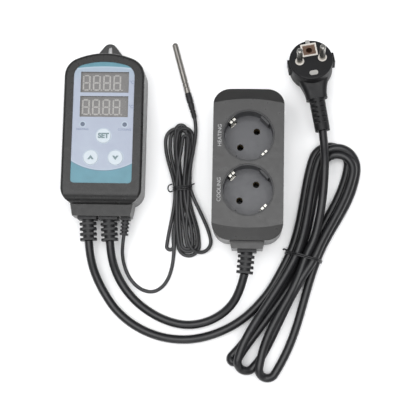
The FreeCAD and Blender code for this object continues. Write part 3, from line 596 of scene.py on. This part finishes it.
# The strands under the tie in three rows: the row's height, and how far across each strand lies.
ROWS = (
    (2.5, (-4.6, -1.5, 1.5, 4.6)),
    (5.1, (-6.1, -3.05, 0.0, 3.05, 6.1)),
    (7.7, (-4.6, -1.5, 1.5, 4.6)),
)
LOW, MID, HIGH = ([(x, z) for x in across] for z, across in ROWS)
PROBE_LOOPS = [
    dict(leave=LOW[0], enter=LOW[3], side=UPPER, centre=(62.4, -2.6), radius=8.6,
         angles=(172, 5), heights=(1.6, 1.6, 1.6)),
    dict(leave=LOW[3], enter=LOW[1], side=LOWER, centre=(71.4, -93.4), radius=9.0,
         angles=(0, -170), heights=(1.6, 1.6, 1.6)),
    dict(leave=LOW[1], enter=LOW[2], side=UPPER, centre=(64.6, 1.6), radius=3.0,
         angles=(175, 0), heights=(1.6, 1.8, 1.6)),
    dict(leave=LOW[2], enter=MID[0], side=LOWER, centre=(55.8, -94.4), radius=3.0,
         angles=(12, -187), heights=(1.6, 1.6, 1.6), lean=(-4, 0)),
    dict(leave=MID[0], enter=MID[2], side=UPPER, centre=(59.8, -4.4), radius=10.2,
         angles=(180, 20), heights=(2.0, 4.4, 4.6), lean=(8, 0)),
    dict(leave=MID[2], enter=MID[1], side=LOWER, centre=(70.4, -92.0), radius=4.8,
         angles=(2, -172), heights=(4.4, 4.2, 4.4)),
    dict(leave=MID[1], enter=MID[3], side=UPPER, centre=(62.8, 4.4), radius=4.4,
         angles=(172, 5), heights=(4.6, 4.4, 4.6)),
    dict(leave=MID[3], enter=HIGH[0], side=LOWER, centre=(71.0, -91.2), radius=7.8,
         angles=(2, -170), heights=(4.2, 3.6, 5.0)),
    dict(leave=HIGH[0], enter=HIGH[2], side=UPPER, centre=(67.0, -3.4), radius=2.4,
         angles=(175, 0), heights=(7.2, 6.6, 7.2)),
    dict(leave=HIGH[2], enter=HIGH[1], side=LOWER, centre=(72.4, -92.4), radius=2.4,
         angles=(0, -172), heights=(6.2, 5.2, 6.2)),
    dict(leave=HIGH[1], enter=MID[4], side=UPPER, centre=(66.4, -0.4), radius=6.2,
         angles=(168, 0), heights=(7.2, 6.0, 2.2)),
    dict(leave=MID[4], enter=HIGH[3], side=LOWER, centre=(80.9, -90.2), radius=9.2,
         angles=(12, -150), heights=(1.6, 2.2, 6.0), lean=(16, 8), out_pull=(0.30, 0.30),
         back_pull=(0.30, 0.30)),
]


def probe_cord():
    hank = Hank(*PROBE_TIE, PROBE_HANK_TURN, leg_points=4, arc_points=7)
    points = hank.cord_points(PROBE_ROUTE, PROBE_LOOPS, HIGH[3], PROBE_TAIL)
    cord = line("probe_cord", points, PROBE_D * MM, "probe_sheath")
    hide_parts("probe_cord_run", "probe_cord_hank", "probe_cord_tail")
    return cord


# ---- socket cord -------------------------------------------------------------
LEAD_ROUTE = [
    (0.0067, -0.0919, 0.0145), (0.0077, -0.1040, 0.0124), (0.0115, -0.1175, 0.0072),
    (0.0190, -0.1310, 0.0040), (0.0320, -0.1445, 0.0036), (0.0505, -0.1555, 0.0036),
    (0.0710, -0.1605, 0.0036), (0.0905, -0.1565, 0.0042), (0.1058, -0.1464, 0.0090),
    (0.1150, -0.1322, 0.0162), (0.1185, -0.1175, 0.0197),
]


def socket_cord():
    cord = line("socket_cord", [Vector(p) for p in LEAD_ROUTE], MAINS_D * MM, "mains_sheath")
    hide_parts("socket_lead")
    return cord


# ---- ties --------------------------------------------------------------------
MAINS_TIE_WIRE = 1.3
MAINS_TIE_PITCH = 1.4
PROBE_TIE_WIRE = 1.1
PROBE_TIE_PITCH = 1.5


def tie_wire(name, place, turn_deg, points, wire, node):
    """Twist tie: one bent wire, its points in the tie's own frame (across, along, up)."""
    shift = Matrix.Translation((place[0] * MM, place[1] * MM, 0))
    turn = shift @ Matrix.Rotation(math.radians(turn_deg), 4, "Z")
    tie = line(name, [turn @ (Vector(p) * MM) for p in points], wire * MM, "tie_black")
    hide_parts(node)


def wound(outline, laps, pitch):
    """Laps of a closed outline (across, up), moving along the bundle by one pitch a lap."""
    count = len(outline)
    points = []
    for i in range(laps * count + 1):
        x, z = outline[i % count]
        points.append((x, (i / count - laps / 2) * pitch, z))
    return points


def ties():
    mains = [(-15.3, 5.0), (-13.6, 8.8), (-8.6, 14.4), (-6.0, 15.7), (1.5, 15.9), (8.8, 15.7), (12.4, 14.0),
             (15.3, 8.0), (15.2, 2.6), (12.0, 0.7), (4.0, 0.7), (-4.0, 0.7), (-12.0, 0.7), (-15.0, 2.4)]
    tail = [(-16.2, 1.8, 4.6), (-17.2, 1.6, 5.4), (-17.8, 0.9, 6.4)]
    tie_wire("mains_cord_twist_tie", MAINS_TIE, MAINS_TIE_TURN, wound(mains, 2, MAINS_TIE_PITCH) + tail,
             MAINS_TIE_WIRE, "mains_cord_tie")
    probe = [(-8.2, 4.6), (-7.2, 7.4), (-5.0, 9.6), (-1.6, 9.9), (1.6, 9.9), (5.0, 9.6), (7.3, 7.4),
             (8.2, 4.6), (6.6, 1.4), (4.0, 0.5), (0.0, 0.5), (-4.0, 0.5), (-6.8, 1.4)]
    left_end = [(-8.6, 3.6, 5.6), (-10.4, 3.1, 6.2), (-11.9, 1.8, 6.4), (-12.3, -0.2, 6.2),
                (-11.6, -2.2, 6.0), (-10.2, -3.2, 6.2), (-9.2, -2.6, 6.6)]
    right_end = [(7.6, 2.0, 8.2), (9.0, 2.8, 7.8), (10.2, 3.4, 7.2)]
    tie_wire("probe_cord_twist_tie", PROBE_TIE, PROBE_HANK_TURN,
             left_end + wound(probe, 3, PROBE_TIE_PITCH)[:-6] + right_end, PROBE_TIE_WIRE, "probe_cord_tie")


# ---- printing on the faces ---------------------------------------------------
INK_HALF = 0.00003
LAMP_LEGEND_SIZE = 0.0024
LAMP_LEGEND_DROP = 0.0043
LAMP_LEGEND_WEIGHT = 0.00003
LAMP_RING = (0.0020, 0.0028, 0.00004)       # inner radius, outer radius and rise, as below
KEY_SURROUND = (0.00615, 0.0068, 0.00005)
UNIT_LEGEND_SIZE = 0.0038
UNIT_LEGEND_X = 0.0224
UNIT_LEGEND_WEIGHT = 0.00004
SET_SIZE = 0.0057
SET_WEIGHT = 0.00030
CHEVRON = ((-2.7, -1.6), (0.0, 2.0), (2.7, -1.6), (1.0, -1.7), (0.0, -0.6), (-1.0, -1.7))
LABEL_SIZE = 0.0043
LABEL_INSET = 0.0056


def lettering(name, text, size, centre, turn_deg, weight, material, body):
    """Raised ink: a line of text as a thin solid, centred on a point of a face."""
    data = bpy.data.curves.new(name, "FONT")
    data.body = text
    data.size = size
    data.align_x = "CENTER"
    data.align_y = "CENTER"
    data.extrude = INK_HALF
    data.offset = weight
    draft = bpy.data.objects.new(name + "_draft", data)
    bpy.context.scene.collection.objects.link(draft)
    bpy.context.view_layer.update()
    mesh = bpy.data.meshes.new_from_object(draft.evaluated_get(bpy.context.evaluated_depsgraph_get()))
    bpy.data.objects.remove(draft)
    bpy.data.curves.remove(data)
    mesh.name = name
    mesh.transform(Matrix.Translation(centre) @ Matrix.Rotation(math.radians(turn_deg), 4, "Z"))
    return piece(name, mesh, material, body)


def closed(name, form, material, body):
    """A piece from a closed bmesh form."""
    bmesh.ops.recalc_face_normals(form, faces=form.faces)
    mesh = bpy.data.meshes.new(name)
    form.to_mesh(mesh)
    form.free()
    return piece(name, mesh, material, body)


def plate(name, outline, bottom, top, material, body):
    """Thin solid from a closed outline, a list of (x, y) in metres."""
    form = bmesh.new()
    low = [form.verts.new((x, y, bottom)) for x, y in outline]
    high = [form.verts.new((x, y, top)) for x, y in outline]
    form.faces.new(high)
    form.faces.new(low[::-1])
    for i in range(len(outline)):
        j = (i + 1) % len(outline)
        form.faces.new((low[i], low[j], high[j], high[i]))
    return closed(name, form, material, body)


def ring_plate(name, x, y, z, inner, outer, rise, material, body, slot, steps=40):
    """Flat printed ring round an axis."""
    form = bmesh.new()
    rings = []
    for r, h in ((inner, z), (inner, z + rise), (outer, z + rise), (outer, z)):
        rings.append([form.verts.new((x + r * math.cos(2 * math.pi * i / steps),
                                      y + r * math.sin(2 * math.pi * i / steps), h)) for i in range(steps)])
    for k in range(4):
        for i in range(steps):
            j = (i + 1) % steps
            form.faces.new((rings[k][i], rings[k][j], rings[(k + 1) % 4][j], rings[(k + 1) % 4][i]))
    return closed(name, form, material, body)


def middle(node):
    low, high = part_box(node)
    return (low + high) / 2, high.z


def handset_print():
    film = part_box("front_overlay")[1].z
    for word, node in (("HEATING", "heating_indicator"), ("COOLING", "cooling_indicator")):
        centre = middle(node)[0]
        place = (centre.x, centre.y - LAMP_LEGEND_DROP, film + INK_HALF)
        lettering(word.lower() + "_legend", word, LAMP_LEGEND_SIZE, place, 0, LAMP_LEGEND_WEIGHT,
                  "print_slate", ROOT)
        ring_plate(word.lower() + "_lamp_ring", centre.x, centre.y, film, *LAMP_RING,
                   "lamp_ring", ROOT, "overlay_print")
    for name in ("upper", "lower"):
        centre = middle(name + "_display_window")[0]
        place = (centre.x + UNIT_LEGEND_X, centre.y, film + INK_HALF)
        lettering(name + "_unit_legend", "°C", UNIT_LEGEND_SIZE, place, 0, UNIT_LEGEND_WEIGHT,
                  "print_slate", ROOT)
    for name in ("set", "up", "down"):
        centre = middle(name + "_key")[0]
        ring_plate(name + "_key_surround", centre.x, centre.y, film, *KEY_SURROUND,
                   "lamp_ring", ROOT, "overlay_print")
    centre, top = middle("set_key")
    lettering("set_glyph", "SET", SET_SIZE, (centre.x, centre.y, top + INK_HALF), 0, SET_WEIGHT,
              "print_teal", "set_key")
    for name, side in (("up", 1), ("down", -1)):
        centre, top = middle(name + "_key")
        outline = [(centre.x + x * MM, centre.y + side * y * MM) for x, y in CHEVRON]
        plate(name + "_glyph", outline, top, top + 2 * INK_HALF, "print_teal", name + "_key")


def socket_print():
    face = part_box("socket_front_shell")
    for name in ("heating", "cooling"):
        centre = middle(name + "_socket_well")[0]
        place = (face[0].x + LABEL_INSET, centre.y, face[1].z + INK_HALF)
        lettering(name + "_label", name.upper(), LABEL_SIZE, place, 90, 0.0,
                  "print_white", ROOT)


# ---- build -------------------------------------------------------------------
camera()
lights()
floor()
PAINT = materials()

mains = mains_cord()
probe = probe_cord()
lead = socket_cord()
ties()
handset_print()
socket_print()
